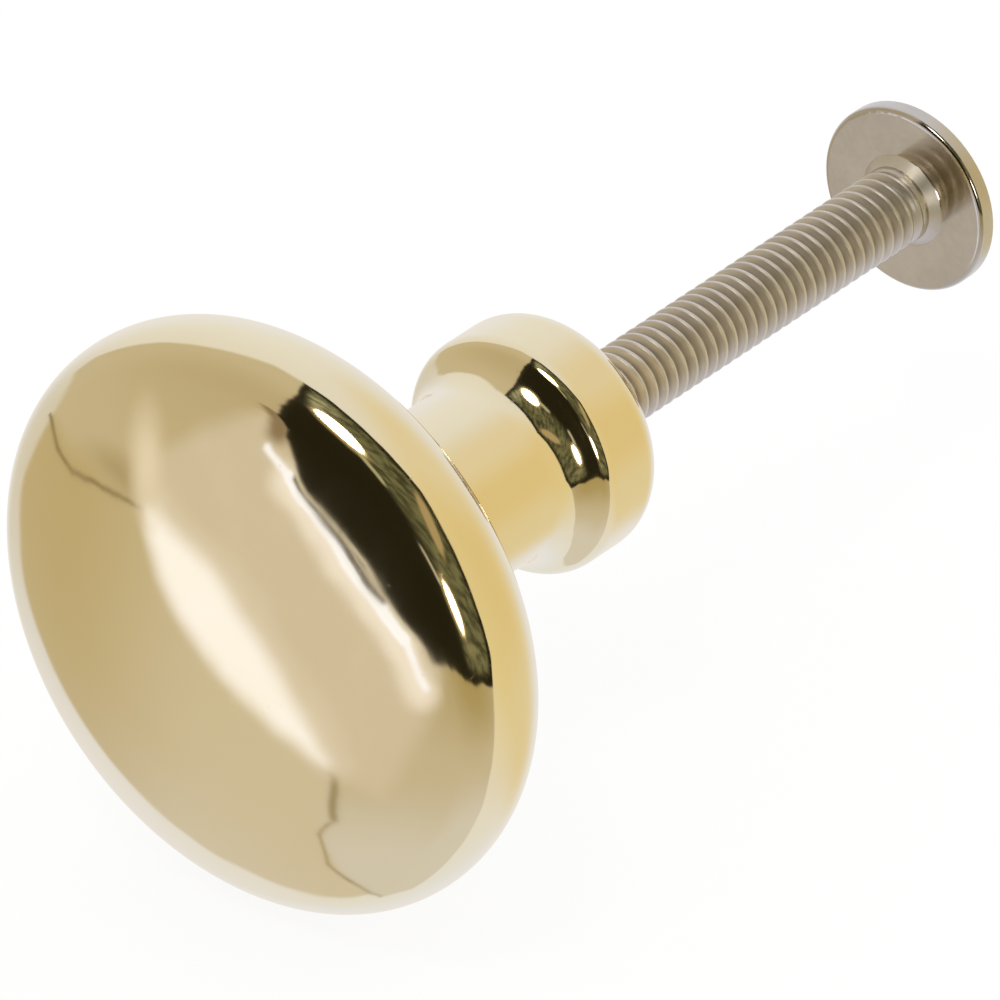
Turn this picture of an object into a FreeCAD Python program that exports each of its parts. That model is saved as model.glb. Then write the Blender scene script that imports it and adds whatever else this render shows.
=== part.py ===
import FreeCAD, Part
import math
import os
import Sketcher

# Cabinet knob: a turned brass mushroom knob with the screw that holds it.
#
# The frame is that of the fixed knob. The origin is the centre of the flat
# back face that seats on the drawer front. +Y points out of that face into
# the panel, the domed head points to -Y, and +Z is up. Lengths are in
# millimetres and angles in degrees.
#
# Both pieces are turned about the Y axis. Their half sections are drawn in
# the YZ plane, where a sketch has Y to the right and the radius upwards.

# Driving dimensions: name, value, meaning. The knob is built up from its back
# face, so the foot comes to 13 mm across and the middle of the dome to 29.7 mm
# from the panel.
SIZES = [
    ("cap_diameter", 31.75, "widest circle of the domed head"),
    ("dome_rise", 6.5, "widest circle to the middle of the dome"),
    ("rim_front_radius", 3.3, "roll of the rim on the dome side"),
    ("rim_back_radius", 3.7, "roll of the rim on the neck side"),
    ("cap_back_angle", 28.0, "slope of the back of the head"),
    ("cap_fillet_radius", 5.0, "hollow between the neck and the head"),
    ("neck_diameter", 9.6, "narrowest part of the stem"),
    ("neck_length", 4.8, "plain part of the stem between its two hollows"),
    ("foot_step", 1.7, "how far the foot's band stands out from the neck"),
    ("flare_angle", 51.0, "slope of the shoulder of the foot"),
    ("shoulder_length", 0.18, "straight part of the shoulder"),
    ("band_length", 3.9, "back face to the front end of the foot's band"),
    ("band_front_round", 1.2, "rounding between the band and the shoulder"),
    ("band_back_round", 1.8, "rounding between the band and the back face"),
    ("thread_diameter", 4.166, "outer diameter of the 8-32 thread"),
    ("screw_length", 38.1, "tip to the underside of the screw head"),
    ("panel_grip", 27.1, "back face to the underside of the screw head"),
    ("tip_chamfer", 0.6, "chamfer at the end of the thread"),
    ("collar_length", 0.5, "cone between the shank and the head"),
    ("collar_flare", 0.45, "how far the cone under the head stands out"),
    ("screw_head_diameter", 10.2, "outer diameter of the truss head"),
    ("screw_head_edge", 0.9, "height of the edge of the truss head"),
    ("screw_head_crown", 1.3, "height of the low dome above the edge"),
    ("screw_edge_round", 0.3, "rounding of the edge at the underside"),
    ("recess_span", 4.8, "width across the cross recess at the surface"),
    ("recess_floor_span", 1.6, "width across the cross recess at its floor"),
    ("recess_slot", 1.1, "width of each slot of the cross recess"),
    ("recess_depth", 1.9, "depth of the cross recess below the crown"),
    ("hole_clearance", 0.08, "gap between the thread crests and the hole"),
    ("hole_spare_depth", 1.5, "hole beyond the tip of the screw"),
    ("hole_point_angle", 118.0, "full angle of the drilled point"),
    ("hole_mouth_chamfer", 0.4, "chamfer at the mouth of the hole"),
]

document = FreeCAD.newDocument("cabinet_knob")


def make_sheet():
    """The spreadsheet of driving dimensions."""
    table = document.addObject("Spreadsheet::Sheet", "Sizes")
    for row, (name, value, meaning) in enumerate(SIZES, start=1):
        table.set(f"A{row}", name)
        table.set(f"B{row}", str(value))
        table.set(f"C{row}", meaning)
        table.setAlias(f"B{row}", name)
    document.recompute()
    return table


sheet = make_sheet()


def size(name):
    """A driving dimension, for the starting shape of a sketch."""
    return float(getattr(sheet, name))


def polar(centre, radius, angle):
    """The point of a circle at an angle."""
    return (
        centre[0] + radius * math.cos(math.radians(angle)),
        centre[1] + radius * math.sin(math.radians(angle)),
    )


def make_body(name):
    body = document.addObject("PartDesign::Body", name)
    body.Label = name
    body.Placement = FreeCAD.Placement()
    return body


def origin_plane(body, role):
    return next(item for item in body.Origin.OriginFeatures if item.Role == role)


class Outline:
    """A sketch on the body's YZ plane, drawn as (y, radius) points and then tied down."""

    START = 1
    END = 2
    CENTRE = 3
    AXIS = -1
    ORIGIN = (-1, 1)

    def __init__(self, body, name):
        self.sketch = body.newObject("Sketcher::SketchObject", name)
        self.sketch.AttachmentSupport = [(origin_plane(body, "YZ_Plane"), "")]
        self.sketch.MapMode = "FlatFace"

    def line(self, start, end):
        first = FreeCAD.Vector(start[0], start[1], 0)
        last = FreeCAD.Vector(end[0], end[1], 0)
        return self.sketch.addGeometry(Part.LineSegment(first, last), False)

    def arc(self, centre, radius, first_angle, last_angle):
        """An arc that runs anticlockwise between two angles."""
        middle = FreeCAD.Vector(centre[0], centre[1], 0)
        circle = Part.Circle(middle, FreeCAD.Vector(0, 0, 1), radius)
        curve = Part.ArcOfCircle(circle, math.radians(first_angle), math.radians(last_angle))
        return self.sketch.addGeometry(curve, False)

    def tie(self, kind, *where):
        self.sketch.addConstraint(Sketcher.Constraint(kind, *where))

    def measure(self, kind, formula, value, *where):
        """A dimension that starts at a value and follows a formula in the named sizes."""
        index = self.sketch.addConstraint(Sketcher.Constraint(kind, *where, value))
        self.sketch.setExpression(f"Constraints[{index}]", formula)

    def right_of_origin(self, formula, value, point):
        self.measure("DistanceX", formula, value, *self.ORIGIN, *point)

    def left_of_origin(self, formula, value, point):
        self.measure("DistanceX", formula, value, *point, *self.ORIGIN)

    def above_axis(self, formula, value, point):
        self.measure("DistanceY", formula, value, *self.ORIGIN, *point)

    def slope(self, formula, angle, line):
        """The direction of a line from its start, against the Y axis."""
        self.measure("Angle", formula, math.radians(angle), line)

    def radius(self, formula, value, arc):
        self.measure("Radius", formula, value, arc)


def revolve(body, outline, kind, name):
    """Turn an outline about the Y axis, to add or to cut."""
    turned = body.newObject(f"PartDesign::{kind}", name)
    turned.Profile = outline.sketch
    turned.ReferenceAxis = (outline.sketch, ["H_Axis"])
    turned.Angle = 360
    outline.sketch.Visibility = False
    return turned


def knob_section(body):
    """Half section of the knob, from the back face round to the dome."""
    cap_radius = size("cap_diameter") / 2
    neck_radius = size("neck_diameter") / 2
    foot_radius = neck_radius + size("foot_step")
    rise = size("dome_rise")
    rim_front = size("rim_front_radius")
    rim_back = size("rim_back_radius")
    cap_fillet = size("cap_fillet_radius")
    front_round = size("band_front_round")
    back_round = size("band_back_round")
    band_length = size("band_length")
    flare = size("flare_angle")
    back_slope = size("cap_back_angle")

    # The shoulder of the foot, and the hollow that fills the rest of the step to the neck
    edge_centre = (-band_length, foot_radius - front_round)
    shoulder_top = polar(edge_centre, front_round, 90 + flare)
    shoulder_end = polar(shoulder_top, size("shoulder_length"), 180 + flare)
    foot_fillet = (shoulder_end[1] - neck_radius) / (1 - math.cos(math.radians(flare)))
    hollow_start = shoulder_end[0] - foot_fillet * math.sin(math.radians(flare))
    hollow_centre = (hollow_start, neck_radius + foot_fillet)

    # The neck, the hollow beyond it and the sloping back of the head
    cap_hollow_start = hollow_start - size("neck_length")
    cap_hollow_centre = (cap_hollow_start, neck_radius + cap_fillet)
    back_end = polar(cap_hollow_centre, cap_fillet, 180 + back_slope)
    back_height = cap_radius - rim_back + rim_back * math.sin(math.radians(back_slope))
    back_run = (back_height - back_end[1]) * math.tan(math.radians(back_slope))
    back_top = (back_end[0] - back_run, back_height)
    back_centre = polar(back_top, rim_back, 180 + back_slope)

    # The dome is the sphere that runs smoothly into the roll of the rim
    rim_distance = -back_centre[0]
    projection = rim_distance + rise
    dome_radius = (rise**2 + cap_radius**2 - 2 * cap_radius * rim_front) / (2 * (rise - rim_front))
    dome_centre = (dome_radius - projection, 0)
    front_centre = (-rim_distance, cap_radius - rim_front)
    meeting = 180 - math.degrees(math.asin(front_centre[1] / (dome_radius - rim_front)))

    out = Outline(body, "knob_section")
    face = out.line((0, 0), (0, foot_radius - back_round))
    back_edge = out.arc((-back_round, foot_radius - back_round), back_round, 0, 90)
    band = out.line((-back_round, foot_radius), (-band_length, foot_radius))
    front_edge = out.arc(edge_centre, front_round, 90, 90 + flare)
    shoulder = out.line(shoulder_top, shoulder_end)
    hollow = out.arc(hollow_centre, foot_fillet, 270, 270 + flare)
    neck = out.line((hollow_start, neck_radius), (cap_hollow_start, neck_radius))
    cap_hollow = out.arc(cap_hollow_centre, cap_fillet, 180 + back_slope, 270)
    cap_back = out.line(back_end, back_top)
    rim_behind = out.arc(back_centre, rim_back, back_slope, 90)
    rim_before = out.arc(front_centre, rim_front, 90, meeting)
    dome = out.arc(dome_centre, dome_radius, meeting, 180)
    centre_line = out.line((-projection, 0), (0, 0))

    out.tie("Coincident", face, out.START, *out.ORIGIN)
    out.tie("Vertical", face)
    out.tie("Tangent", face, out.END, back_edge, out.START)
    out.tie("Tangent", back_edge, out.END, band, out.START)
    out.tie("Horizontal", band)
    out.tie("Tangent", band, out.END, front_edge, out.START)
    out.tie("Tangent", front_edge, out.END, shoulder, out.START)
    out.tie("Tangent", shoulder, out.END, hollow, out.END)
    out.tie("Tangent", hollow, out.START, neck, out.START)
    out.tie("Horizontal", neck)
    out.tie("Tangent", neck, out.END, cap_hollow, out.END)
    out.tie("Tangent", cap_hollow, out.START, cap_back, out.START)
    out.tie("Tangent", cap_back, out.END, rim_behind, out.START)
    out.tie("Tangent", rim_behind, out.END, rim_before, out.START)
    out.tie("Tangent", rim_before, out.END, dome, out.START)
    out.tie("Vertical", rim_behind, out.END, rim_behind, out.CENTRE)
    out.tie("PointOnObject", dome, out.CENTRE, out.AXIS)
    out.tie("Coincident", dome, out.END, centre_line, out.START)
    out.tie("Coincident", centre_line, out.END, *out.ORIGIN)
    out.tie("Horizontal", centre_line)

    band_height = "Sizes.neck_diameter / 2 + Sizes.foot_step"
    out.above_axis(band_height, foot_radius, (band, out.END))
    out.left_of_origin("Sizes.band_length", band_length, (band, out.END))
    out.radius("Sizes.band_back_round", back_round, back_edge)
    out.radius("Sizes.band_front_round", front_round, front_edge)
    out.slope("180 + Sizes.flare_angle", 180 + flare, shoulder)
    out.measure("Distance", "Sizes.shoulder_length", size("shoulder_length"), shoulder)
    out.above_axis("Sizes.neck_diameter / 2", neck_radius, (neck, out.START))
    out.measure("Distance", "Sizes.neck_length", size("neck_length"), neck)
    out.radius("Sizes.cap_fillet_radius", cap_fillet, cap_hollow)
    out.slope("90 + Sizes.cap_back_angle", 90 + back_slope, cap_back)
    out.radius("Sizes.rim_back_radius", rim_back, rim_behind)
    out.radius("Sizes.rim_front_radius", rim_front, rim_before)
    out.above_axis("Sizes.cap_diameter / 2", cap_radius, (rim_behind, out.END))
    out.measure("DistanceX", "Sizes.dome_rise", rise, centre_line, out.START, rim_behind, out.END)
    return out


def hole_section(body):
    """Half section of the blind hole that takes the screw, with its drilled point."""
    radius = size("thread_diameter") / 2 + size("hole_clearance")
    depth = size("screw_length") - size("panel_grip") + size("hole_spare_depth")
    mouth = size("hole_mouth_chamfer")
    half_point = size("hole_point_angle") / 2
    tip = depth + radius / math.tan(math.radians(half_point))

    out = Outline(body, "hole_section")
    opening = out.line((0, 0), (0, radius + mouth))
    chamfer = out.line((0, radius + mouth), (-mouth, radius))
    wall = out.line((-mouth, radius), (-depth, radius))
    point = out.line((-depth, radius), (-tip, 0))
    centre_line = out.line((-tip, 0), (0, 0))

    out.tie("Coincident", opening, out.START, *out.ORIGIN)
    out.tie("Vertical", opening)
    out.tie("Coincident", opening, out.END, chamfer, out.START)
    out.tie("Coincident", chamfer, out.END, wall, out.START)
    out.tie("Horizontal", wall)
    out.tie("Coincident", wall, out.END, point, out.START)
    out.tie("Coincident", point, out.END, centre_line, out.START)
    out.tie("Horizontal", centre_line)
    out.tie("Coincident", centre_line, out.END, *out.ORIGIN)

    bore = "Sizes.thread_diameter / 2 + Sizes.hole_clearance"
    reach = "Sizes.screw_length - Sizes.panel_grip + Sizes.hole_spare_depth"
    out.above_axis(f"{bore} + Sizes.hole_mouth_chamfer", radius + mouth, (opening, out.END))
    out.left_of_origin("Sizes.hole_mouth_chamfer", mouth, (chamfer, out.END))
    out.above_axis(bore, radius, (wall, out.START))
    out.left_of_origin(reach, depth, (wall, out.END))
    out.slope("180 + Sizes.hole_point_angle / 2", 180 + half_point, point)
    return out


def make_knob():
    """The knob, turned from one bar and drilled from the back."""
    body = make_body("knob")
    revolve(body, knob_section(body), "Revolution", "turned_knob")
    document.recompute()
    revolve(body, hole_section(body), "Groove", "screw_hole")
    document.recompute()
    return body


def screw_section(body):
    """Half section of the screw, from the tip to the crown of the head."""
    grip = size("panel_grip")
    tip = size("screw_length") - grip
    thread_radius = size("thread_diameter") / 2
    head_radius = size("screw_head_diameter") / 2
    chamfer = size("tip_chamfer")
    collar_length = size("collar_length")
    collar_flare = size("collar_flare")
    edge_round = size("screw_edge_round")
    edge = size("screw_head_edge")
    crown = size("screw_head_crown")

    # The crown is a shallow sphere through the top of the edge
    crown_radius = (head_radius**2 + crown**2) / (2 * crown)
    crown_centre = (grip + edge + crown - crown_radius, 0)
    crown_angle = math.degrees(math.asin(head_radius / crown_radius))

    out = Outline(body, "screw_section")
    tip_face = out.line((-tip, 0), (-tip, thread_radius - chamfer))
    tip_cone = out.line((-tip, thread_radius - chamfer), (chamfer - tip, thread_radius))
    shank = out.line((chamfer - tip, thread_radius), (grip - collar_length, thread_radius))
    collar = out.line((grip - collar_length, thread_radius), (grip, thread_radius + collar_flare))
    underside = out.line((grip, thread_radius + collar_flare), (grip, head_radius - edge_round))
    edge_curve = out.arc((grip + edge_round, head_radius - edge_round), edge_round, 90, 180)
    rim = out.line((grip + edge_round, head_radius), (grip + edge, head_radius))
    crown_curve = out.arc(crown_centre, crown_radius, 0, crown_angle)
    centre_line = out.line((grip + edge + crown, 0), (-tip, 0))

    out.tie("PointOnObject", tip_face, out.START, out.AXIS)
    out.tie("Vertical", tip_face)
    out.tie("Coincident", tip_face, out.END, tip_cone, out.START)
    out.tie("Coincident", tip_cone, out.END, shank, out.START)
    out.tie("Horizontal", shank)
    out.tie("Coincident", shank, out.END, collar, out.START)
    out.tie("Coincident", collar, out.END, underside, out.START)
    out.tie("Vertical", underside)
    out.tie("Tangent", underside, out.END, edge_curve, out.END)
    out.tie("Tangent", edge_curve, out.START, rim, out.START)
    out.tie("Horizontal", rim)
    out.tie("Coincident", rim, out.END, crown_curve, out.END)
    out.tie("PointOnObject", crown_curve, out.CENTRE, out.AXIS)
    out.tie("Coincident", crown_curve, out.START, centre_line, out.START)
    out.tie("Horizontal", centre_line)
    out.tie("Coincident", centre_line, out.END, tip_face, out.START)

    reach = "Sizes.screw_length - Sizes.panel_grip"
    crest = "Sizes.thread_diameter / 2"
    out.left_of_origin(reach, tip, (tip_face, out.START))
    out.above_axis(f"{crest} - Sizes.tip_chamfer", thread_radius - chamfer, (tip_face, out.END))
    out.left_of_origin(f"{reach} - Sizes.tip_chamfer", tip - chamfer, (shank, out.START))
    out.above_axis(crest, thread_radius, (shank, out.START))
    shank_end = "Sizes.panel_grip - Sizes.collar_length"
    out.right_of_origin(shank_end, grip - collar_length, (shank, out.END))
    collar_top = f"{crest} + Sizes.collar_flare"
    out.above_axis(collar_top, thread_radius + collar_flare, (collar, out.END))
    out.right_of_origin("Sizes.panel_grip", grip, (collar, out.END))
    out.radius("Sizes.screw_edge_round", edge_round, edge_curve)
    out.above_axis("Sizes.screw_head_diameter / 2", head_radius, (rim, out.END))
    rim_end = "Sizes.panel_grip + Sizes.screw_head_edge"
    out.right_of_origin(rim_end, grip + edge, (rim, out.END))
    out.right_of_origin(f"{rim_end} + Sizes.screw_head_crown", grip + edge + crown,
                        (centre_line, out.START))
    return out


def recess_section(body):
    """Section of one slot of the cross recess, narrower at its floor."""
    top = size("panel_grip") + size("screw_head_edge") + size("screw_head_crown")
    floor = top - size("recess_depth")
    clear = top + size("screw_head_edge")
    half_span = size("recess_span") / 2
    half_floor = size("recess_floor_span") / 2

    out = Outline(body, "recess_section")
    bottom = out.line((floor, -half_floor), (floor, half_floor))
    upper_wing = out.line((floor, half_floor), (top, half_span))
    upper_side = out.line((top, half_span), (clear, half_span))
    opening = out.line((clear, half_span), (clear, -half_span))
    lower_side = out.line((clear, -half_span), (top, -half_span))
    lower_wing = out.line((top, -half_span), (floor, -half_floor))

    loop = [bottom, upper_wing, upper_side, opening, lower_side, lower_wing]
    for line, following in zip(loop, loop[1:] + loop[:1]):
        out.tie("Coincident", line, out.END, following, out.START)
    out.tie("Symmetric", bottom, out.START, bottom, out.END, out.AXIS)
    out.tie("Symmetric", opening, out.START, opening, out.END, out.AXIS)
    out.tie("Symmetric", lower_side, out.END, upper_side, out.START, out.AXIS)
    out.tie("Horizontal", upper_side)

    crown_top = "Sizes.panel_grip + Sizes.screw_head_edge + Sizes.screw_head_crown"
    out.right_of_origin(f"{crown_top} - Sizes.recess_depth", floor, (bottom, out.END))
    out.right_of_origin(crown_top, top, (upper_wing, out.END))
    out.right_of_origin(f"{crown_top} + Sizes.screw_head_edge", clear, (upper_side, out.END))
    out.above_axis("Sizes.recess_floor_span / 2", half_floor, (bottom, out.END))
    out.above_axis("Sizes.recess_span / 2", half_span, (upper_wing, out.END))
    return out


def cut_recess(body):
    """The cross recess: one slot, repeated at a right angle."""
    section = recess_section(body)
    slot = body.newObject("PartDesign::Pocket", "recess_slot")
    slot.Profile = section.sketch
    slot.Midplane = True
    slot.Length = size("recess_slot")
    slot.setExpression("Length", "Sizes.recess_slot")
    section.sketch.Visibility = False
    document.recompute()
    cross = body.newObject("PartDesign::PolarPattern", "cross_recess")
    cross.Originals = [slot]
    cross.Axis = (origin_plane(body, "Y_Axis"), [""])
    cross.Angle = 90
    cross.Occurrences = 2
    body.Tip = cross
    return cross


def make_screw():
    """The machine screw: truss head, cross recess and a plain shank at the thread's crests."""
    body = make_body("machine_screw")
    revolve(body, screw_section(body), "Revolution", "turned_blank")
    document.recompute()
    cut_recess(body)
    document.recompute()
    return body


def check_document():
    """Stop if any object of the document has failed."""
    failed = [item.Label for item in document.Objects if {"Invalid", "Error"} & set(item.State)]
    if failed:
        raise RuntimeError("failed objects: " + ", ".join(failed))


def check_shape(body):
    """Stop if a piece isn't one valid solid."""
    shape = body.Shape
    if shape.isNull() or not shape.isValid() or len(shape.Solids) != 1:
        raise RuntimeError("bad shape: " + body.Label)


pieces = [make_knob(), make_screw()]
document.recompute()
check_document()
for piece in pieces:
    check_shape(piece)

os.makedirs("parts", exist_ok=True)
for piece in pieces:
    piece.Shape.exportStep(f"parts/{piece.Label}.step")
    print(piece.Label, "volume", round(piece.Shape.Volume, 2), "faces", len(piece.Shape.Faces))
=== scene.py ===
import bmesh
import bpy
import math
from mathutils import Matrix, Vector


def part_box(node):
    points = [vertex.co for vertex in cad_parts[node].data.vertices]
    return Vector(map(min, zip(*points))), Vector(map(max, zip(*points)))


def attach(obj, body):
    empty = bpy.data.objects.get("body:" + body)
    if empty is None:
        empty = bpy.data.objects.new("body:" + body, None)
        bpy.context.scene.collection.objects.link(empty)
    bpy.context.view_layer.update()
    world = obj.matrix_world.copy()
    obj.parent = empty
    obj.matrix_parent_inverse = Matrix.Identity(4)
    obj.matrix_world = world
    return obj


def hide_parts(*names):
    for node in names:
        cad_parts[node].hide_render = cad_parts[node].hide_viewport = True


# Polished brass cabinet knob with its fixing screw. Lengths of the pieces are
# written in millimetres and brought to metres by MM. The axis of the knob is
# the Y axis, and the origin is the middle of the foot's back face.

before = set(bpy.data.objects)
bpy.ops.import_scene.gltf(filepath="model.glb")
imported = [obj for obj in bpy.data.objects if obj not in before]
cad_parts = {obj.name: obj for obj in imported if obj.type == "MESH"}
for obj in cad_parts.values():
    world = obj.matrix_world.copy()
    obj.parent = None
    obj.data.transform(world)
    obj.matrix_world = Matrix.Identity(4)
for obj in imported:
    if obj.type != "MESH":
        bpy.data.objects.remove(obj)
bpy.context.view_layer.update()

MM = 0.001

# Sizes of the knob, in millimetres
CAP_RADIUS = 15.875
PROJECTION = 29.7
RIM_DISTANCE = 23.2
RIM_FRONT_RADIUS = 3.3
RIM_BACK_RADIUS = 3.7
CAP_BACK_ANGLE = 28.0
CAP_FILLET = 5.0
NECK_RADIUS = 4.8
FOOT_FILLET = 3.0
FLARE_ANGLE = 51.0
FOOT_RADIUS = 6.5
BAND_LENGTH = 3.9
BAND_FRONT_ROUND = 1.2
BAND_BACK_ROUND = 1.8
HOLE_RADIUS = 2.163
HOLE_DEPTH = 12.5
HOLE_POINT = 1.3
HOLE_CHAMFER = 0.4

# Sizes of the screw, in millimetres
THREAD_RADIUS = 2.083
THREAD_PITCH = 0.79375
THREAD_DEPTH = 0.44
CREST_ROUND = 0.09
ROOT_ROUND = 0.05
SCREW_TIP = -11.0
TIP_CHAMFER = 0.6
HEAD_SEAT = 27.1
COLLAR_LENGTH = 0.5
COLLAR_OVERLAP = 0.05
RUN_OUT_START = 25.4
RUN_OUT_END = 26.4

# Shares of a pitch at which the root ends, the crest starts and ends, and the root starts
THREAD_SHARES = (0.08, 0.38, 0.62, 0.92)

# Steps in a full turn, the angle in degrees above which an edge is sharp, and how
# near points lie that become one, in millimetres
LATHE_STEPS = 288
THREAD_STEPS = 56
SHARP_ANGLE = 30
LATHE_MERGE = 0.0005
POLE_MERGE = 0.0001
THREAD_MERGE = 0.002
HEAD_MERGE = 0.001


# Pieces

def in_scene(name, data):
    thing = bpy.data.objects.new(name, data)
    bpy.context.scene.collection.objects.link(thing)
    return thing


def mesh_object(name, bm):
    mesh = bpy.data.meshes.new(name)
    bm.to_mesh(mesh)
    bm.free()
    return in_scene(name, mesh)


def lies_flat(face):
    """Square to the axis, as the turned and pressed flats are."""
    return abs(face.normal.y) > 0.999999


def finished(name, bm):
    """A piece with smooth faces, whose edges are sharp at corners and round each flat."""
    bm.normal_update()
    for edge in bm.edges:
        flats = {lies_flat(face) for face in edge.link_faces}
        edge.smooth = len(flats) == 1 and edge.calc_face_angle(0.0) < math.radians(SHARP_ANGLE)
    for face in bm.faces:
        face.smooth = True
    piece = mesh_object(name, bm)
    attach(piece, "root")
    return piece


def everything(bm):
    return bm.verts[:] + bm.edges[:] + bm.faces[:]


def only_verts(items):
    return [item for item in items if isinstance(item, bmesh.types.BMVert)]


def cut_square(bm, height, side):
    """Cut away what lies past a height on the axis, on the side that is given as 1 or -1."""
    bmesh.ops.bisect_plane(
        bm, geom=everything(bm), dist=1e-9,
        plane_co=(0, height * MM, 0), plane_no=(0, side, 0), clear_outer=True,
    )


def close_ends(bm):
    open_edges = [edge for edge in bm.edges if edge.is_boundary]
    bmesh.ops.holes_fill(bm, edges=open_edges, sides=0)


class Turning:
    """A half section drawn point by point, then turned about the Y axis as on a lathe."""

    def __init__(self, height, radius):
        self.bm = bmesh.new()
        self.last = self.bm.verts.new((0, height * MM, radius * MM))

    def line(self, height, radius):
        self.last = bmesh.ops.extrude_vert_indiv(self.bm, verts=[self.last])["verts"][0]
        self.last.co = (0, height * MM, radius * MM)

    def arc(self, centre, angle, pieces):
        """Carry the last point round a centre by an angle in degrees."""
        end = bmesh.ops.spin(
            self.bm, geom=[self.last], cent=(0, centre[0] * MM, centre[1] * MM), axis=(1, 0, 0),
            angle=math.radians(angle), steps=pieces,
        )
        self.last = only_verts(end["geom_last"])[0]

    def turn(self, pieces):
        """Spin one quarter, repeat it three times, and close the poles."""
        bm = self.bm
        bmesh.ops.spin(
            bm, geom=bm.verts[:] + bm.edges[:], cent=(0, 0, 0), axis=(0, 1, 0),
            angle=math.radians(90), steps=pieces // 4,
        )
        quarter = everything(bm)
        for number in range(1, 4):
            copy = bmesh.ops.duplicate(bm, geom=quarter)["geom"]
            bmesh.ops.rotate(
                bm, verts=only_verts(copy), cent=(0, 0, 0),
                matrix=Matrix.Rotation(math.radians(90 * number), 3, "Y"),
            )
        bmesh.ops.remove_doubles(bm, verts=bm.verts[:], dist=LATHE_MERGE * MM)
        bmesh.ops.dissolve_degenerate(bm, edges=bm.edges[:], dist=POLE_MERGE * MM)
        bmesh.ops.recalc_face_normals(bm, faces=bm.faces[:])
        return bm


def turn_knob():
    """The knob, from the bottom of its screw hole round to the middle of the dome."""
    rise = PROJECTION - RIM_DISTANCE
    chord = rise**2 + CAP_RADIUS**2 - 2 * CAP_RADIUS * RIM_FRONT_RADIUS
    dome_radius = chord / (2 * (rise - RIM_FRONT_RADIUS))
    dome_centre = (dome_radius - PROJECTION, 0)
    front_centre = (-RIM_DISTANCE, CAP_RADIUS - RIM_FRONT_RADIUS)
    back_centre = (-RIM_DISTANCE, CAP_RADIUS - RIM_BACK_RADIUS)
    dome_sweep = math.degrees(math.asin(front_centre[1] / (dome_radius - RIM_FRONT_RADIUS)))
    flare = math.radians(FLARE_ANGLE)
    back = math.radians(CAP_BACK_ANGLE)

    # Screw hole, flat back of the foot, and its rounded band
    half = Turning(-HOLE_DEPTH - HOLE_POINT, 0)
    half.line(-HOLE_DEPTH, HOLE_RADIUS)
    half.line(-HOLE_CHAMFER, HOLE_RADIUS)
    half.line(0, HOLE_RADIUS + HOLE_CHAMFER)
    half.line(0, FOOT_RADIUS - BAND_BACK_ROUND)
    half.arc((-BAND_BACK_ROUND, FOOT_RADIUS - BAND_BACK_ROUND), 90, pieces=14)
    half.line(-BAND_LENGTH, FOOT_RADIUS)
    half.arc((-BAND_LENGTH, FOOT_RADIUS - BAND_FRONT_ROUND), FLARE_ANGLE, pieces=12)
    # Flare into the neck
    edge = half.last.co / MM
    low = NECK_RADIUS + FOOT_FILLET * (1 - math.cos(flare))
    half.line(edge.y - (edge.z - low) / math.tan(flare), low)
    foot_hollow = half.last.co.y / MM - FOOT_FILLET * math.sin(flare)
    half.arc((foot_hollow, NECK_RADIUS + FOOT_FILLET), -FLARE_ANGLE, pieces=14)
    # Neck and the sloping back of the head
    back_top = (
        back_centre[0] + RIM_BACK_RADIUS * math.cos(back),
        back_centre[1] + RIM_BACK_RADIUS * math.sin(back),
    )
    back_low = NECK_RADIUS + CAP_FILLET * (1 - math.sin(back))
    back_end = back_top[0] + (back_top[1] - back_low) * math.tan(back)
    cap_hollow = back_end + CAP_FILLET * math.cos(back)
    half.line(cap_hollow, NECK_RADIUS)
    half.arc((cap_hollow, NECK_RADIUS + CAP_FILLET), CAP_BACK_ANGLE - 90, pieces=20)
    half.line(*back_top)
    # Rolled rim and dome
    half.arc(back_centre, 90 - CAP_BACK_ANGLE, pieces=48)
    half.arc(front_centre, 90 - dome_sweep, pieces=24)
    half.arc(dome_centre, dome_sweep, pieces=30)

    knob = finished("turned_knob", half.turn(LATHE_STEPS))
    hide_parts("knob")
    return knob


def thread_form(bm):
    """One pitch of the thread as a wire: root, flank, crest and flank."""
    crest = THREAD_RADIUS
    root = THREAD_RADIUS - THREAD_DEPTH
    start = SCREW_TIP - THREAD_PITCH
    corners = [
        bm.verts.new((0, (start + share * THREAD_PITCH) * MM, radius * MM))
        for share, radius in zip((0.0, *THREAD_SHARES, 1.0), (root, root, crest, crest, root, root))
    ]
    for first, second in zip(corners, corners[1:]):
        bm.edges.new((first, second))
    crests = corners[2:4]
    roots = corners[1:2] + corners[4:5]
    for verts, offset, segments in ((crests, CREST_ROUND, 5), (roots, ROOT_ROUND, 2)):
        bmesh.ops.bevel(
            bm, geom=verts, affect="VERTICES", offset=offset * MM, segments=segments, profile=0.5, material=-1
        )
    return bm


def fit_to_shank(vert):
    """Chamfer the tip and fade the groove out towards the collar."""
    height = vert.co.y / MM
    radius = math.hypot(vert.co.x, vert.co.z) / MM
    widest = THREAD_RADIUS - TIP_CHAMFER + max(0.0, height - SCREW_TIP)
    fade = min(1.0, max(0.0, (height - RUN_OUT_START) / (RUN_OUT_END - RUN_OUT_START)))
    narrowest = THREAD_RADIUS - THREAD_DEPTH * (1.0 - fade)
    wanted = min(widest, max(narrowest, radius))
    vert.co.x *= wanted / radius
    vert.co.z *= wanted / radius


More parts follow.
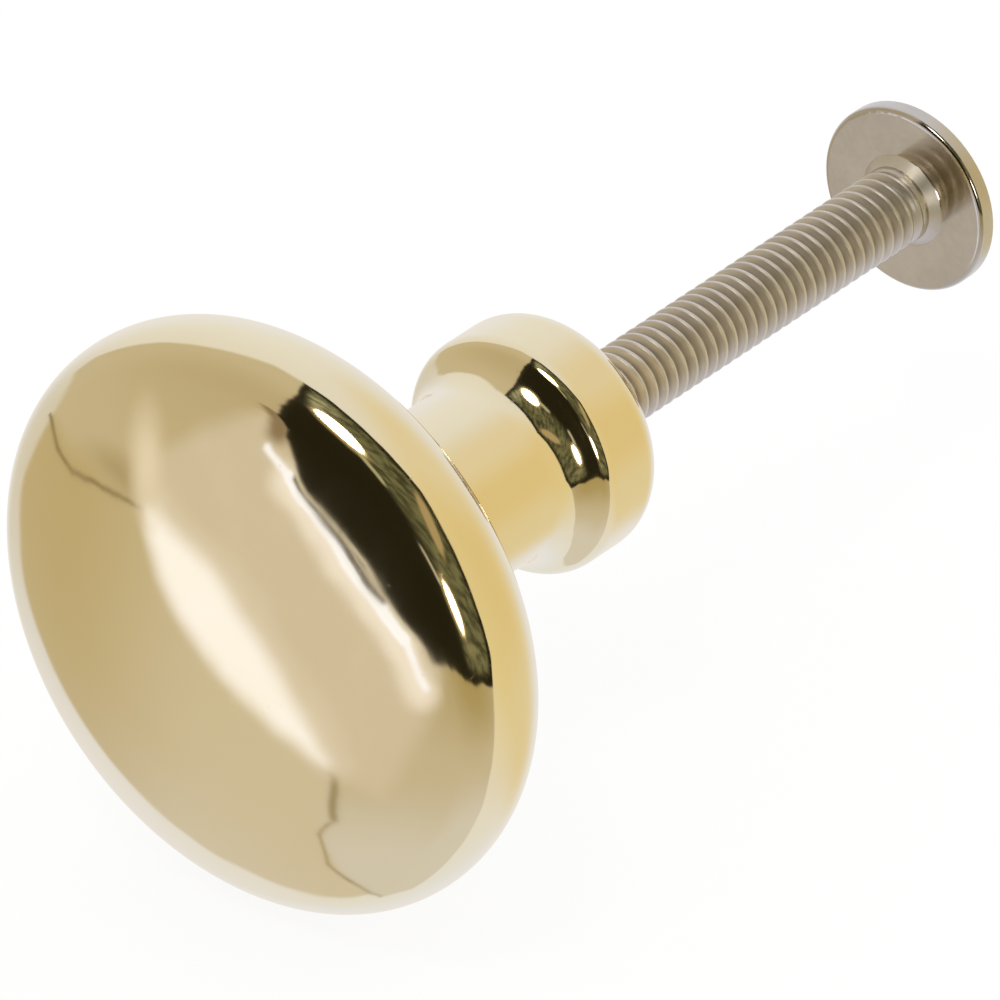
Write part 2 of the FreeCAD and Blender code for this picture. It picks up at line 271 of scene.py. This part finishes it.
def cut_thread():
    """The threaded shank, with its grooves running out before the collar."""
    shank_end = HEAD_SEAT - COLLAR_LENGTH
    turns = math.ceil((shank_end - SCREW_TIP) / THREAD_PITCH) + 2
    bm = thread_form(bmesh.new())
    bmesh.ops.spin(
        bm, geom=bm.verts[:] + bm.edges[:], cent=(0, 0, 0), axis=(0, 1, 0),
        dvec=(0, THREAD_PITCH * MM / THREAD_STEPS, 0), angle=math.tau, steps=THREAD_STEPS,
    )
    one_turn = everything(bm)
    for number in range(1, turns):
        copy = bmesh.ops.duplicate(bm, geom=one_turn)["geom"]
        bmesh.ops.translate(bm, verts=only_verts(copy), vec=(0, number * THREAD_PITCH * MM, 0))
    bmesh.ops.remove_doubles(bm, verts=bm.verts[:], dist=THREAD_MERGE * MM)
    cut_square(bm, SCREW_TIP, -1)
    cut_square(bm, shank_end + COLLAR_OVERLAP, 1)
    close_ends(bm)
    for vert in bm.verts:
        fit_to_shank(vert)
    bmesh.ops.recalc_face_normals(bm, faces=bm.faces[:])
    return bm


def make_screw():
    """The screw: its truss head with the cross recess, and the threaded shank."""
    bm = cut_thread()
    head = bmesh.new()
    head.from_mesh(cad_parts["machine_screw"].data)
    bmesh.ops.remove_doubles(head, verts=head.verts[:], dist=HEAD_MERGE * MM)
    cut_square(head, HEAD_SEAT - COLLAR_LENGTH, -1)
    close_ends(head)
    bmesh.ops.recalc_face_normals(head, faces=head.faces[:])
    spare = bpy.data.meshes.new("screw_head")
    head.to_mesh(spare)
    head.free()
    bm.from_mesh(spare)
    bpy.data.meshes.remove(spare)
    screw = finished("fixing_screw", bm)
    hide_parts("machine_screw")
    return screw


# Materials

BRASS_TONES = ((0.865, 0.712, 0.405, 1), (0.875, 0.728, 0.435, 1))
THREAD_TONES = ((0.67, 0.60, 0.50, 1), (0.73, 0.66, 0.555, 1))
HEAD_TONES = ((0.55, 0.485, 0.385, 1), (0.60, 0.53, 0.42, 1))
# Painted shade: the colour that the thread darkens to in its roots
ROOT_SHADE_TONE = (0.38, 0.32, 0.25, 1)
FLOOR_TONE = (0.94, 0.94, 0.93, 1)
WHITE = (1, 1, 1, 1)

# Heights between which the dull shank goes over into the head, and radii between
# which painted shade darkens the thread towards its root, in millimetres
SHANK_FADE = (27.04, 27.08)
ROOT_SHADE_FADE = (1.68, 1.96)


class Nodes:
    """A node tree that is built by short calls."""

    def __init__(self, tree):
        self.tree = tree
        tree.nodes.clear()

    def add(self, kind, inputs=None, **settings):
        node = self.tree.nodes.new(kind)
        for name, value in settings.items():
            setattr(node, name, value)
        for socket, value in (inputs or {}).items():
            self.feed(node.inputs[socket], value)
        return node

    def feed(self, socket, value):
        if isinstance(value, bpy.types.NodeSocket):
            self.tree.links.new(value, socket)
        else:
            socket.default_value = value

    def show(self, surface, kind="ShaderNodeOutputMaterial"):
        self.add(kind, {"Surface": surface})

    def math(self, operation, *values, clamp=False):
        node = self.add("ShaderNodeMath", operation=operation, use_clamp=clamp)
        for socket, value in zip(node.inputs, values):
            self.feed(socket, value)
        return node.outputs[0]

    def vector(self, operation, *values):
        node = self.add("ShaderNodeVectorMath", operation=operation)
        for socket, value in zip(node.inputs, values):
            self.feed(socket, value)
        return node.outputs["Value" if operation in ("DOT_PRODUCT", "LENGTH") else "Vector"]

    def scaled(self, vector, factor):
        return self.add("ShaderNodeVectorMath", {0: vector, "Scale": factor}, operation="SCALE").outputs[0]

    def mapped(self, where, **settings):
        return self.add("ShaderNodeMapping", {"Vector": where, **settings}).outputs[0]

    def length(self, across, up):
        return self.vector("LENGTH", self.add("ShaderNodeCombineXYZ", {"X": across, "Y": up}).outputs[0])

    def mix(self, share, first, second):
        node = self.add("ShaderNodeMix", data_type="RGBA")
        self.feed(node.inputs["Factor"], share)
        self.feed(node.inputs[6], first)
        self.feed(node.inputs[7], second)
        return node.outputs[2]

    def fade(self, value, low, high, first=0.0, last=1.0):
        """A smooth step from first to last as the value goes from low to high."""
        node = self.add(
            "ShaderNodeMapRange",
            {"Value": value, "From Min": low, "From Max": high, "To Min": first, "To Max": last},
            interpolation_type="SMOOTHSTEP",
        )
        return node.outputs[0]

    def noise(self, where, scale, detail, roughness=0.5):
        node = self.add("ShaderNodeTexNoise", {"Vector": where, "Scale": scale, "Detail": detail})
        node.inputs["Roughness"].default_value = roughness
        return node.outputs[0]


def new_material(name):
    material = bpy.data.materials.new(name)
    material.use_nodes = True
    nodes = Nodes(material.node_tree)
    where = nodes.add("ShaderNodeTexCoord").outputs["Object"]
    shader = nodes.add("ShaderNodeBsdfPrincipled")
    return material, nodes, where, shader


def polished_brass():
    """Mirror polished brass under clear lacquer, with faint waves, hairlines and dull patches."""
    material, nodes, where, shader = new_material("polished_brass")
    patches = nodes.fade(nodes.noise(where, 90.0, 3.0), 0.3, 0.7)
    nodes.feed(shader.inputs["Base Color"], nodes.mix(patches, *BRASS_TONES))

    haze = nodes.fade(nodes.noise(where, 320.0, 4.0, 0.6), 0.3, 0.75, 0.05, 0.08)
    handled = nodes.fade(nodes.noise(where, 75.0, 2.0), 0.52, 0.72, 0.0, 0.025)
    slanted = nodes.mapped(where, Rotation=(0.5, 0.9, 0.3), Scale=(3000.0, 60.0, 2400.0))
    hairlines = nodes.fade(nodes.noise(slanted, 1.0, 1.0), 0.70, 0.80, 0.0, 0.07)
    dullness = nodes.math("ADD", nodes.math("ADD", haze, handled), hairlines)
    nodes.feed(shader.inputs["Roughness"], dullness)

    waves = nodes.noise(where, 140.0, 2.0)
    turning_lines = nodes.noise(nodes.mapped(where, Scale=(60.0, 9000.0, 60.0)), 1.0, 2.0)
    height = nodes.math("ADD", waves, nodes.math("MULTIPLY", turning_lines, 0.012))
    bump = nodes.add("ShaderNodeBump", {"Height": height, "Strength": 1.0, "Distance": 0.02 * MM})
    nodes.feed(shader.inputs["Normal"], bump.outputs[0])
    shader.inputs["Metallic"].default_value = 1.0
    shader.inputs["Coat Weight"].default_value = 0.35
    shader.inputs["Coat Roughness"].default_value = 0.03
    nodes.show(shader.outputs[0])
    return material


def satin_nickel():
    """Satin nickel plating on a rolled thread, duller, with painted shade darkening it in the roots."""
    material, nodes, where, shader = new_material("nickel_plated_steel")
    radius = nodes.vector("LENGTH", nodes.vector("MULTIPLY", where, (1.0, 0.0, 1.0)))
    height = nodes.vector("DOT_PRODUCT", where, (0.0, 1.0, 0.0))
    shank = nodes.fade(height, SHANK_FADE[0] * MM, SHANK_FADE[1] * MM, 1.0, 0.0)
    # Painted shade in the thread's grooves, strongest at the root radius
    depth = nodes.fade(radius, ROOT_SHADE_FADE[0] * MM, ROOT_SHADE_FADE[1] * MM, 1.0, 0.0)
    root = nodes.math("MULTIPLY", shank, depth)

    patches = nodes.fade(nodes.noise(where, 500.0, 4.0, 0.6), 0.3, 0.7)
    tone = nodes.mix(shank, nodes.mix(patches, *HEAD_TONES), nodes.mix(patches, *THREAD_TONES))
    tone = nodes.mix(nodes.math("MULTIPLY", root, 0.7), tone, ROOT_SHADE_TONE)
    nodes.feed(shader.inputs["Base Color"], tone)

    grain = nodes.noise(where, 3000.0, 3.0, 0.6)
    satin = nodes.fade(grain, 0.25, 0.75, 0.11, 0.16)
    dullness = nodes.math("ADD", satin, nodes.math("MULTIPLY", shank, 0.30))
    nodes.feed(shader.inputs["Roughness"], dullness)
    bump = nodes.add("ShaderNodeBump", {"Height": grain, "Strength": 0.6, "Distance": 0.003 * MM})
    nodes.feed(shader.inputs["Normal"], bump.outputs[0])
    shader.inputs["Metallic"].default_value = 1.0
    nodes.show(shader.outputs[0])
    return material


def dress(piece, material):
    piece.data.materials.clear()
    piece.data.materials.append(material)


# Camera: a long lens at VIEW_DISTANCE metres that takes in FRAME_WIDTH metres.
# The middle of the picture lies AIM_LEFT and AIM_DOWN millimetres off the origin.

VIEW_AZIMUTH = math.radians(39.05)
VIEW_ELEVATION = math.radians(32.3)
VIEW_DISTANCE = 1.0
FRAME_WIDTH = 0.04978
SENSOR_WIDTH = 36.0
NEAR_CLIP = 0.01
AIM_LEFT = 3.335
AIM_DOWN = 3.95

TO_CAMERA = Vector((
    math.sin(VIEW_AZIMUTH) * math.cos(VIEW_ELEVATION),
    -math.cos(VIEW_AZIMUTH) * math.cos(VIEW_ELEVATION),
    math.sin(VIEW_ELEVATION),
))
IMAGE_RIGHT = Vector((math.cos(VIEW_AZIMUTH), math.sin(VIEW_AZIMUTH), 0.0))
IMAGE_UP = TO_CAMERA.cross(IMAGE_RIGHT)


def place_camera():
    data = bpy.data.cameras.new("camera")
    data.sensor_width = SENSOR_WIDTH
    data.lens = SENSOR_WIDTH * VIEW_DISTANCE / FRAME_WIDTH
    data.clip_start = NEAR_CLIP
    camera = in_scene("camera", data)
    aim = IMAGE_RIGHT * -AIM_LEFT * MM - IMAGE_UP * AIM_DOWN * MM
    turn = Matrix((IMAGE_RIGHT, IMAGE_UP, TO_CAMERA)).transposed()
    camera.matrix_world = Matrix.Translation(aim + TO_CAMERA * VIEW_DISTANCE) @ turn.to_4x4()
    bpy.context.scene.camera = camera


# Studio. Directions are given in degrees from the line of sight back to the
# camera: the first number to the right in the picture, the second upwards.

LAMP_DISTANCE = 0.8
# Name, direction, half lengths, tilt and brightness
LAMPS = [
    ("upper_lamp", (-13, 33), (10.0, 7.0), -43, 7.5),
    ("lower_lamp", (13, -23), (8.0, 4.2), -70, 9.0),
]


def hang_lamp(name, place, size, tilt, brightness):
    """A soft oval lamp that faces the object; its half lengths and tilt are in degrees."""
    turn = math.radians(math.hypot(*place))
    sideways = (IMAGE_RIGHT * place[0] + IMAGE_UP * place[1]).normalized()
    direction = TO_CAMERA * math.cos(turn) + sideways * math.sin(turn)
    angle = math.radians(tilt)
    along = IMAGE_RIGHT * math.cos(angle) + IMAGE_UP * math.sin(angle)
    along = (along - direction * along.dot(direction)).normalized()
    long_radius, short_radius = (LAMP_DISTANCE * math.tan(math.radians(half)) for half in size)
    data = bpy.data.lights.new(name, "AREA")
    data.shape = "ELLIPSE"
    data.size = 2 * long_radius
    data.size_y = 2 * short_radius
    data.energy = brightness * math.pi**2 * long_radius * short_radius
    lamp = in_scene(name, data)
    axes = Matrix((along, direction.cross(along), direction)).transposed()
    lamp.matrix_world = Matrix.Translation(direction * LAMP_DISTANCE) @ axes.to_4x4()
    lamp.visible_camera = False


# How close and how wide, in degrees, the edges of the surroundings ripple
RIPPLE_SCALE = 4.5
RIPPLE_REACH = 4


class Surroundings:
    """The pale walls, table and openings round the object, drawn on the world."""

    def __init__(self, nodes, tone):
        self.nodes = nodes
        direction = nodes.add("ShaderNodeTexCoord").outputs["Generated"]
        ahead = nodes.vector("DOT_PRODUCT", direction, TO_CAMERA)
        right = nodes.vector("DOT_PRODUCT", direction, IMAGE_RIGHT)
        above = nodes.vector("DOT_PRODUCT", direction, IMAGE_UP)
        flat = nodes.add("ShaderNodeCombineXYZ", {"X": right, "Y": above}).outputs[0]
        self.turn = nodes.math("MULTIPLY", nodes.math("ARCCOSINE", ahead), math.degrees(1.0))
        place = nodes.scaled(nodes.vector("NORMALIZE", flat), self.turn)
        # A slow ripple, so that no edge looks ruled
        ripple = {"Vector": direction, "Scale": RIPPLE_SCALE, "Detail": 3.0}
        ripple = nodes.add("ShaderNodeTexNoise", ripple).outputs["Color"]
        sway = nodes.vector("SUBTRACT", ripple, (0.5, 0.5, 0.5))
        sway = nodes.vector("MULTIPLY", sway, (RIPPLE_REACH, RIPPLE_REACH, 0))
        self.place = nodes.vector("ADD", place, sway)
        self.colour = (*tone, 1)

    def paint(self, share, tone, within=None):
        if within is not None:
            share = self.nodes.math("MULTIPLY", share, within)
        self.colour = self.nodes.mix(share, self.colour, (*tone, 1))

    def past(self, point, angle):
        """Degrees past a line through a point; the angle, in radians, is square to the line."""
        across = (math.cos(angle), math.sin(angle), 0)
        offset = point[0] * across[0] + point[1] * across[1]
        return self.nodes.math("SUBTRACT", self.nodes.vector("DOT_PRODUCT", self.place, across), offset)

    def beyond(self, point, heading, softness):
        """On the far side of a line through a point, for a heading in degrees."""
        return self.nodes.fade(self.past(point, math.radians(heading)), -softness, softness)

    def behind(self, angle, softness):
        """Further than an angle from the line of sight back to the camera."""
        return self.nodes.fade(self.turn, angle - softness, angle + softness)

    def depth(self, corners):
        """Degrees behind the nearest side of a convex outline whose corners run anticlockwise."""
        nearest = None
        for first, second in zip(corners, corners[1:] + corners[:1]):
            angle = math.atan2(second[1] - first[1], second[0] - first[0]) + math.radians(90)
            behind = self.past(first, angle)
            nearest = behind if nearest is None else self.nodes.math("MINIMUM", nearest, behind)
        return nearest

    def inside(self, corners, softness):
        return self.nodes.fade(self.depth(corners), -softness, softness)

    def spot(self, centre, size, tilt, softness):
        """Inside an ellipse; softness is the share of its size over which it fades."""
        nodes = self.nodes
        away = nodes.vector("SUBTRACT", self.place, (*centre, 0))
        angle = math.radians(tilt)
        long_axis = (math.cos(angle) / size[0], math.sin(angle) / size[0], 0)
        short_axis = (-math.sin(angle) / size[1], math.cos(angle) / size[1], 0)
        along = nodes.vector("DOT_PRODUCT", away, long_axis)
        across = nodes.vector("DOT_PRODUCT", away, short_axis)
        return nodes.fade(nodes.length(along, across), 1 - softness, 1 + softness, 1.0, 0.0)

    def strip(self, first, second, width, softness):
        """Near the line between two directions."""
        nodes = self.nodes
        span = Vector((second[0] - first[0], second[1] - first[1], 0))
        away = nodes.vector("SUBTRACT", self.place, (*first, 0))
        reach = nodes.vector("DOT_PRODUCT", away, span)
        share = nodes.math("DIVIDE", reach, span.length_squared, clamp=True)
        gap = nodes.vector("LENGTH", nodes.vector("SUBTRACT", away, nodes.scaled(span, share)))
        return nodes.fade(gap, width, width + softness, 1.0, 0.0)

    def streaks(self, stretch, detail, roughness):
        """Noise stretched along the picture's two directions."""
        where = self.nodes.vector("MULTIPLY", self.place, (*stretch, 0))
        return self.nodes.noise(where, 1.0, detail, roughness)

    def paint_spots(self, spots, within=None):
        for centre, size, tilt, softness, tone in spots:
            self.paint(self.spot(centre, size, tilt, softness), tone, within)

    def paint_lines(self, lines):
        for corners, width, softness, tone in lines:
            for first, second in zip(corners, corners[1:]):
                self.paint(self.strip(first, second, width, softness), tone)


# Closed outlines, whose corners run anticlockwise
LEFT_WALL = [(-8, 68), (-22, 75), (-75, 77), (-108, 73), (-119, 60), (-120, 2), (-92, -18), (-50, -10)]
FRONT_TABLE = [
    (-24, -48), (-50, -75), (-55, -93), (-50, -106), (-29, -122), (-3, -127), (12, -119), (28, -106),
    (40, -90), (46, -67), (48, -42),
]
PALE_PANEL = [
    (-60, 3), (-90, -8), (-90.3, -22), (-87.5, -32.5), (-83.5, -41), (-73, -56), (-62, -67), (-52, -74),
    (-38, -79), (-26, -56), (-25, -50),
]
PANEL_GLOW = [
    (-88.5, -18.5), (-90, -24.5), (-87.5, -32.5), (-83.5, -41), (-74, -54), (-62, -66), (-51, -72.5),
    (-49.5, -71), (-56, -58), (-63, -46), (-72.5, -31), (-86, -18.5),
]
DARK_OPENING = [
    (-9, 70), (-44, 24), (-53, 9), (-55.5, -3), (-52.7, -10.5), (-26, -48), (19, -47), (48, -42),
    (54, -28), (48, -7), (43, 17), (38, 34), (20, 49), (2, 61),
]

# Open lines
WALL_JOINT = [(-124, 12), (-116, -5.5), (-110.5, -11), (-100, -15.5), (-88.5, -19.5)]
BOARD_JOINT = [(-50.5, -87.5), (-55, -92), (-54, -100), (-49.5, -105), (-29, -122)]
BOARD_STEP = [(-53, -71), (-49, -75), (-51, -87)]
BRIGHT_EDGE = [
    (-60, -5.5), (-55, -10.8), (-48.5, -19), (-43.5, -27.5), (-37.2, -35.5), (-32.5, -43.5), (-28.5, -53),
]
BRIGHT_EDGE_FLANK = [(right - 1, up - 1) for right, up in BRIGHT_EDGE[1:]]
BROWN_SHADE = [(-55, 10), (-57.5, -2)]
DARK_GROOVE = [(-53.5, -10.8), (-50.8, -14.5), (-44.5, -23.5), (-39.4, -31.2), (-36.2, -35.2)]
PALE_LIP = [(-53.5, -9.8), (-50.2, -14.5), (-43.2, -23.2), (-39.8, -27.2), (-35.2, -35.2), (-30, -43.8)]

BACKDROP_TONE = (0.86, 0.91, 1.08)
REAR_TONE = (0.88, 0.86, 0.83)
TABLE_TONE = (0.585, 0.52, 0.37)
TABLE_END_TONE = (0.70, 0.685, 0.68)
WALL_TONE = (0.63, 0.595, 0.515)
BOARD_TONE = (0.72, 0.75, 0.88)
NEAR_BOARD_TONE = (0.63, 0.60, 0.55)
PANEL_TONE = (0.72, 0.695, 0.71)
FOLD_TONE = (0.80, 0.775, 0.82)
HALO_TONE = (0.93, 0.95, 1.12)
GLOW_TONE = (1.14, 1.25, 1.74)
OPENING_TONE = (0.019, 0.017, 0.010)
STREAK_TONE = (0.20, 0.21, 0.13)
LAMP_EDGE_TONE = (0.42, 0.33, 0.16)

# Spots: centre, half sizes, tilt, softness and tone
BACKDROP_SPOTS = [
    ((-132, 10), (36, 70), 0, 0.8, (0.745, 0.765, 0.83)),
    ((-15, 128), (70, 34), 0, 0.9, (0.895, 0.965, 1.17)),
    ((10, -130), (75, 32), 0, 0.9, (0.86, 0.95, 1.22)),
    ((72, 0), (54, 68), 0, 0.55, (0.84, 0.775, 0.545)),
    ((86, 14), (32, 44), 25, 0.9, (0.81, 0.71, 0.46)),
    ((108, -52), (26, 34), 0, 0.8, (0.83, 0.78, 0.62)),
    ((58, 72), (28, 22), -45, 0.9, (0.84, 0.80, 0.70)),
]
WALL_SHADES = [
    ((-56, 20), (34, 30), 0, 0.8, (0.57, 0.515, 0.41)),
    ((-98, -11.5), (8, 4.5), -25, 0.9, (0.49, 0.43, 0.31)),
]
BOARD_SHADES = [((10, -48), (40, 15), 0, 0.8, (0.46, 0.395, 0.22))]
PANEL_CORNER = [
    ((-87.5, -21), (1.2, 2.2), 20, 0.9, (1.1, 1.2, 1.6)),
    ((-89, -9), (3.5, 10), 0, 0.9, (0.88, 0.87, 0.93)),
]
UPPER_GLIMMER = [((-13, 54), (10, 16), -38, 0.5, (0.40, 0.42, 0.33))]
BEIGE_PATCH = [((27, 13), (5, 14.5), -10, 0.25, (0.47, 0.385, 0.24))]
LOWER_GLIMMER = [((24, -38), (13, 7), 0, 0.5, (0.27, 0.27, 0.17))]

# Lines: corners, half width, softness and tone
JOINT_LINES = [
    (WALL_JOINT, 0.2, 0.7, (0.28, 0.235, 0.15)),
    (BOARD_JOINT, 0.1, 0.7, (0.42, 0.38, 0.29)),
    (BOARD_STEP, 0.3, 1.2, (0.32, 0.28, 0.19)),
]
PANEL_LINES = [
    (BRIGHT_EDGE_FLANK, 0.5, 5.0, (1.0, 1.02, 1.25)),
    (BROWN_SHADE, 0.8, 3.5, (0.30, 0.245, 0.18)),
]
OPENING_LINES = [
    ([(-8.8, 22), (-5, 16)], 1.2, 2.5, (0.45, 0.46, 0.34)),
    ([(0, -9), (5, -17)], 0.5, 2.0, (0.55, 0.55, 0.50)),
    (BRIGHT_EDGE[1:-1], 0.8, 0.9, (1.25, 1.45, 2.25)),
    (BRIGHT_EDGE, 0.2, 1.2, (1.15, 1.3, 1.95)),
    (DARK_GROOVE, 0.35, 0.5, (0.12, 0.10, 0.07)),
    (PALE_LIP, 0.15, 0.45, (0.78, 0.78, 0.80)),
]


def paint_backdrop(room):
    """The bright surface behind the object, warmer on the right."""
    room.paint_spots(BACKDROP_SPOTS)
    room.paint(room.behind(158, 14), REAR_TONE)


def paint_table(room):
    """The tan table on the left, the wall behind it, and the paler boards in front."""
    table = room.spot((-74, -50), (68.5, 54.5), -45, 0.02)
    room.paint(table, TABLE_TONE)
    room.paint(room.beyond((-96, -52), -22, 30), TABLE_END_TONE, within=table)
    wall = room.inside(LEFT_WALL, 3.0)
    room.paint(wall, WALL_TONE)
    room.paint_spots(WALL_SHADES, within=wall)
    boards = room.inside(FRONT_TABLE, 1.5)
    room.paint(boards, BOARD_TONE)
    room.paint(room.beyond((0, -84), 90, 14), NEAR_BOARD_TONE, within=boards)
    room.paint_spots(BOARD_SHADES, within=boards)
    room.paint_lines(JOINT_LINES)


def paint_panel(room):
    """The pale panel beside the opening, which glows along its outer side."""
    nodes = room.nodes
    panel = room.inside(PALE_PANEL, 3.0)
    room.paint(panel, PANEL_TONE)
    folds = room.streaks((0.05, 0.03), detail=3.0, roughness=0.6)
    room.paint(nodes.fade(folds, 0.45, 0.72, 0.0, 0.5), FOLD_TONE, within=panel)
    glow = room.depth(PANEL_GLOW)
    room.paint(nodes.fade(glow, -8.0, 3.0, 0.0, 0.6), HALO_TONE, within=panel)
    room.paint(nodes.fade(glow, -2.5, 4.0), GLOW_TONE)
    room.paint_spots(PANEL_CORNER)
    room.paint_lines(PANEL_LINES)


def paint_opening(room):
    """The dark opening towards the camera, with faint streaks on its far side and its bright edge."""
    nodes = room.nodes
    shape = room.depth(DARK_OPENING)
    opening = nodes.fade(shape, -0.5, 0.5)
    room.paint(opening, OPENING_TONE)
    streaks = room.streaks((0.08, 0.25), detail=4.0, roughness=0.7)
    lit = nodes.math("MULTIPLY", nodes.fade(streaks, 0.4, 0.6, 0.2, 1.0), nodes.fade(shape, 2.0, 8.0))
    room.paint(nodes.math("MULTIPLY", room.beyond((-1, 12), 25, 7), lit), STREAK_TONE, within=opening)
    room.paint_spots(UPPER_GLIMMER, within=lit)
    room.paint_spots(BEIGE_PATCH, within=opening)
    room.paint_spots(LOWER_GLIMMER, within=lit)
    for _, place, size, tilt, _ in LAMPS:
        lamp_edge = room.spot(place, (size[0] + 2, size[1] + 3), tilt, 0.25)
        room.paint(lamp_edge, LAMP_EDGE_TONE, within=opening)
    room.paint_lines(OPENING_LINES)


def build_world():
    """Mirror rays see the surroundings, while the camera and soft light see plain white."""
    world = bpy.data.worlds.new("studio")
    bpy.context.scene.world = world
    world.use_nodes = True
    nodes = Nodes(world.node_tree)
    room = Surroundings(nodes, BACKDROP_TONE)
    paint_backdrop(room)
    paint_table(room)
    paint_panel(room)
    paint_opening(room)
    rays = nodes.add("ShaderNodeLightPath")
    mirrored = nodes.add("ShaderNodeBackground", {"Color": room.colour})
    white = nodes.add("ShaderNodeBackground", {"Color": WHITE})
    either = nodes.math("MAXIMUM", rays.outputs["Is Diffuse Ray"], rays.outputs["Is Camera Ray"])
    shown = nodes.add("ShaderNodeMixShader", {0: either, 1: mirrored.outputs[0], 2: white.outputs[0]})
    nodes.show(shown.outputs[0], "ShaderNodeOutputWorld")
    world.cycles.sampling_method = "NONE"


FLOOR_REACH = 1.5
FLOOR_GAP = 0.05
FLOOR_WHITENESS = 0.9


def lay_floor():
    """A pale table under the rim that shows only the object's soft shadow."""
    bm = bmesh.new()
    bmesh.ops.create_grid(bm, x_segments=1, y_segments=1, size=FLOOR_REACH)
    bmesh.ops.translate(bm, verts=bm.verts[:], vec=(0, 0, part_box("knob")[0][2] - FLOOR_GAP * MM))
    table = mesh_object("table", bm)
    table.visible_glossy = False
    material, nodes, _, shader = new_material("pale_table")
    shader.inputs["Base Color"].default_value = FLOOR_TONE
    shader.inputs["Roughness"].default_value = 0.9
    rays = nodes.add("ShaderNodeLightPath")
    seen = nodes.math("MULTIPLY", rays.outputs["Is Camera Ray"], FLOOR_WHITENESS)
    white = nodes.add("ShaderNodeEmission", {"Color": WHITE, "Strength": 1.0})
    both = nodes.add("ShaderNodeMixShader", {0: seen, 1: shader.outputs[0], 2: white.outputs[0]})
    nodes.show(both.outputs[0])
    dress(table, material)


dress(make_screw(), satin_nickel())
dress(turn_knob(), polished_brass())
lay_floor()
build_world()
for lamp in LAMPS:
    hang_lamp(*lamp)
place_camera()
bpy.context.scene.view_settings.view_transform = "Standard"
